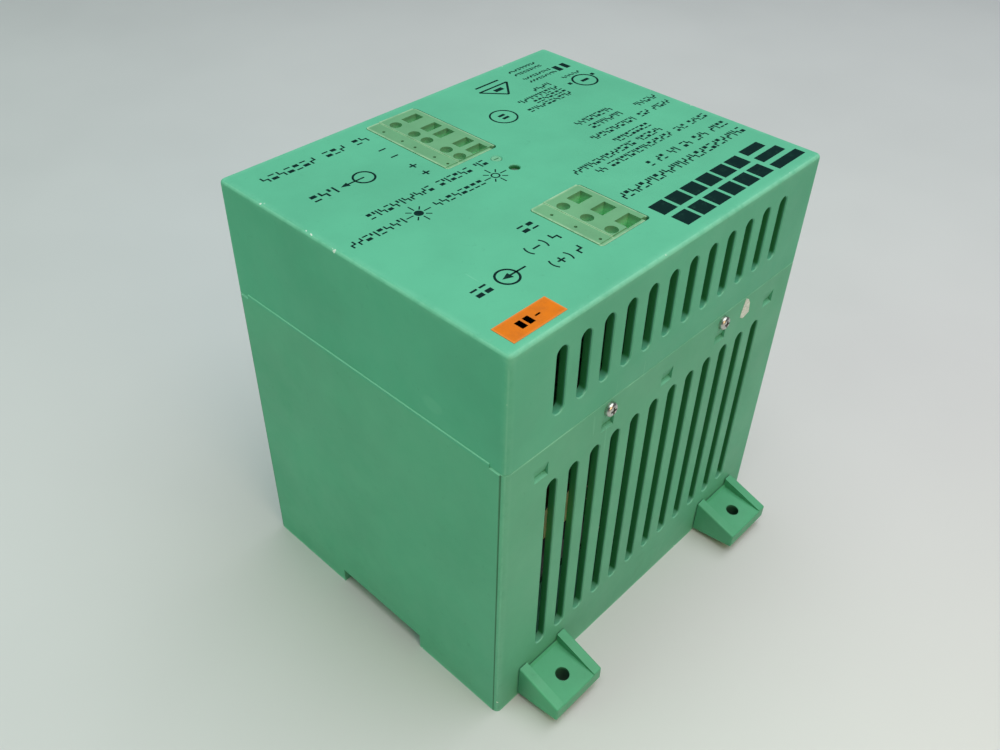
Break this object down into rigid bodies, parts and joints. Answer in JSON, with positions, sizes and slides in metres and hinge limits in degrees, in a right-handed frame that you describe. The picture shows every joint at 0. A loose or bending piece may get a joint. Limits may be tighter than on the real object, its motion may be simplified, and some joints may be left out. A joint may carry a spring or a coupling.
{
  "type": "DIN rail power supply",
  "caption": "Green plastic power supply for a DIN rail, with a vented two-part housing, plug-in screw terminals on the front and sliding rail feet at the back.",
  "frame": {"origin": "middle of the rail channel's length and width, in the plane of the housing's back", "axes": "+X along the rail, +Z out of the front face with the terminals, +Y towards the fixed rail hooks and away from the sliding feet"},
  "size_m": [0.1254, 0.1185, 0.1323],
  "materials": {
    "housing_green": "fine grained moulding",
    "foot_green": "smooth moulding",
    "terminal_green": "satin moulding",
    "zinc_screw": "zinc plated",
    "spring_steel": "drawn wire",
    "tinned_metal": "tin plated",
    "label_orange": "coated paper",
    "clear_plastic": "clear moulding",
    "lamp_green": "tinted",
    "adjuster_pale": "moulded",
    "trimmer_blue": "moulded",
    "board_green": "glass fibre laminate",
    "header_black": "moulded",
    "capacitor_yellow": "moulded case",
    "sleeve_dark": "shrunk sleeve",
    "ferrite": "ground ferrite",
    "tape_yellow": "wound tape",
    "ring_core": "coated iron powder",
    "copper_wire": "enamelled",
    "package_black": "moulded",
    "heatsink": "mill finish",
    "fuse_ceramic": "glazed tube",
    "varistor_blue": "dipped coating",
    "wire_red": "insulation"
  },
  "bodies": {
    "housing": {"base_housing": "housing_green", "front_cover": "housing_green", "housing_screws": "zinc_screw", "marker_label": "label_orange", "foot_spring_left": "spring_steel", "foot_spring_right": "spring_steel", "input_header": "header_black", "output_header": "header_black", "header_pins": "tinned_metal", "trimmer_body": "trimmer_blue", "status_led": "lamp_green", "light_pipe": "clear_plastic", "power_board": "board_green", "control_board": "board_green", "film_capacitor": "capacitor_yellow", "bulk_capacitors": "sleeve_dark", "output_capacitors": "sleeve_dark", "transformer_core": "ferrite", "transformer_winding": "tape_yellow", "line_choke_core": "ring_core", "line_choke_winding": "copper_wire", "output_choke_core": "ring_core", "output_choke_winding": "copper_wire", "bridge_rectifier": "package_black", "primary_heatsink": "heatsink", "output_heatsink": "heatsink", "switching_transistors": "package_black", "output_rectifiers": "package_black", "device_screws": "zinc_screw", "mains_fuse": "fuse_ceramic", "fuse_clips": "tinned_metal", "varistor": "varistor_blue", "controller_chips": "package_black", "link_wires": "wire_red"},
    "foot_left": {"rail_foot_left": "foot_green"},
    "foot_right": {"rail_foot_right": "foot_green"},
    "input_plug": {"input_plug_housing": "terminal_green", "input_plug_base": "terminal_green", "input_contacts": "tinned_metal"},
    "output_plug": {"output_plug_housing": "terminal_green", "output_plug_base": "terminal_green", "output_contacts": "tinned_metal"},
    "trimmer": {"trimmer_rotor": "adjuster_pale"},
    "input_screw_1_body": {"input_screw_1": "zinc_screw"},
    "input_clamp_1_body": {"input_clamp_1": "tinned_metal"},
    "input_screw_2_body": {"input_screw_2": "zinc_screw"},
    "input_clamp_2_body": {"input_clamp_2": "tinned_metal"},
    "input_screw_3_body": {"input_screw_3": "zinc_screw"},
    "input_clamp_3_body": {"input_clamp_3": "tinned_metal"},
    "output_screw_1_body": {"output_screw_1": "zinc_screw"},
    "output_clamp_1_body": {"output_clamp_1": "tinned_metal"},
    "output_screw_2_body": {"output_screw_2": "zinc_screw"},
    "output_clamp_2_body": {"output_clamp_2": "tinned_metal"},
    "output_screw_3_body": {"output_screw_3": "zinc_screw"},
    "output_clamp_3_body": {"output_clamp_3": "tinned_metal"},
    "output_screw_4_body": {"output_screw_4": "zinc_screw"},
    "output_clamp_4_body": {"output_clamp_4": "tinned_metal"},
    "output_screw_5_body": {"output_screw_5": "zinc_screw"},
    "output_clamp_5_body": {"output_clamp_5": "tinned_metal"}
  },
  "joints": [
    {"name": "foot_left_pull", "type": "slide", "parent": "housing", "child": "foot_left", "axis": [0, -1, 0], "range_m": [0, 0.005], "stiffness_N_per_m": 600, "springref_m": -0.003, "deforming": ["foot_spring_left"]},
    {"name": "foot_right_pull", "type": "slide", "parent": "housing", "child": "foot_right", "axis": [0, -1, 0], "range_m": [0, 0.005], "stiffness_N_per_m": 600, "springref_m": -0.003, "deforming": ["foot_spring_right"]},
    {"name": "input_plug_lift", "type": "slide", "parent": "housing", "child": "input_plug", "axis": [0, 0, 1], "range_m": [0, 0.026]},
    {"name": "output_plug_lift", "type": "slide", "parent": "housing", "child": "output_plug", "axis": [0, 0, 1], "range_m": [0, 0.026]},
    {"name": "trimmer_turn", "type": "hinge", "parent": "housing", "child": "trimmer", "pos_m": [-0.0036, 0.0101, 0.1269], "axis": [0, 0, 1], "range_deg": [-135, 135]},
    {"name": "input_screw_1_turn", "type": "hinge", "parent": "input_plug", "child": "input_screw_1_body", "pos_m": [-0.0101, -0.03422, 0.1262], "axis": [0, 0, -1], "range_deg": [0, 2160]},
    {"name": "input_clamp_1_slide", "type": "slide", "parent": "input_plug", "child": "input_clamp_1_body", "axis": [1, 0, 0], "range_m": [0, 0.003]},
    {"name": "input_screw_2_turn", "type": "hinge", "parent": "input_plug", "child": "input_screw_2_body", "pos_m": [-0.0101, -0.0266, 0.1262], "axis": [0, 0, -1], "range_deg": [0, 2160]},
    {"name": "input_clamp_2_slide", "type": "slide", "parent": "input_plug", "child": "input_clamp_2_body", "axis": [1, 0, 0], "range_m": [0, 0.003]},
    {"name": "input_screw_3_turn", "type": "hinge", "parent": "input_plug", "child": "input_screw_3_body", "pos_m": [-0.0101, -0.01898, 0.1262], "axis": [0, 0, -1], "range_deg": [0, 2160]},
    {"name": "input_clamp_3_slide", "type": "slide", "parent": "input_plug", "child": "input_clamp_3_body", "axis": [1, 0, 0], "range_m": [0, 0.003]},
    {"name": "output_screw_1_turn", "type": "hinge", "parent": "output_plug", "child": "output_screw_1_body", "pos_m": [-0.0101, 0.0174, 0.1262], "axis": [0, 0, -1], "range_deg": [0, 2160]},
    {"name": "output_clamp_1_slide", "type": "slide", "parent": "output_plug", "child": "output_clamp_1_body", "axis": [1, 0, 0], "range_m": [0, 0.003]},
    {"name": "output_screw_2_turn", "type": "hinge", "parent": "output_plug", "child": "output_screw_2_body", "pos_m": [-0.0101, 0.02248, 0.1262], "axis": [0, 0, -1], "range_deg": [0, 2160]},
    {"name": "output_clamp_2_slide", "type": "slide", "parent": "output_plug", "child": "output_clamp_2_body", "axis": [1, 0, 0], "range_m": [0, 0.003]},
    {"name": "output_screw_3_turn", "type": "hinge", "parent": "output_plug", "child": "output_screw_3_body", "pos_m": [-0.0101, 0.0301, 0.1262], "axis": [0, 0, -1], "range_deg": [0, 2160]},
    {"name": "output_clamp_3_slide", "type": "slide", "parent": "output_plug", "child": "output_clamp_3_body", "axis": [1, 0, 0], "range_m": [0, 0.003]},
    {"name": "output_screw_4_turn", "type": "hinge", "parent": "output_plug", "child": "output_screw_4_body", "pos_m": [-0.0101, 0.03518, 0.1262], "axis": [0, 0, -1], "range_deg": [0, 2160]},
    {"name": "output_clamp_4_slide", "type": "slide", "parent": "output_plug", "child": "output_clamp_4_body", "axis": [1, 0, 0], "range_m": [0, 0.003]},
    {"name": "output_screw_5_turn", "type": "hinge", "parent": "output_plug", "child": "output_screw_5_body", "pos_m": [-0.0101, 0.0428, 0.1262], "axis": [0, 0, -1], "range_deg": [0, 2160]},
    {"name": "output_clamp_5_slide", "type": "slide", "parent": "output_plug", "child": "output_clamp_5_body", "axis": [1, 0, 0], "range_m": [0, 0.003]}
  ],
  "couplings": [
    {"joint": "input_screw_1_turn", "follows": "input_clamp_1_slide", "rad_per_m": 12566},
    {"joint": "input_screw_2_turn", "follows": "input_clamp_2_slide", "rad_per_m": 12566},
    {"joint": "input_screw_3_turn", "follows": "input_clamp_3_slide", "rad_per_m": 12566},
    {"joint": "output_screw_1_turn", "follows": "output_clamp_1_slide", "rad_per_m": 12566},
    {"joint": "output_screw_2_turn", "follows": "output_clamp_2_slide", "rad_per_m": 12566},
    {"joint": "output_screw_3_turn", "follows": "output_clamp_3_slide", "rad_per_m": 12566},
    {"joint": "output_screw_4_turn", "follows": "output_clamp_4_slide", "rad_per_m": 12566},
    {"joint": "output_screw_5_turn", "follows": "output_clamp_5_slide", "rad_per_m": 12566}
  ]
}
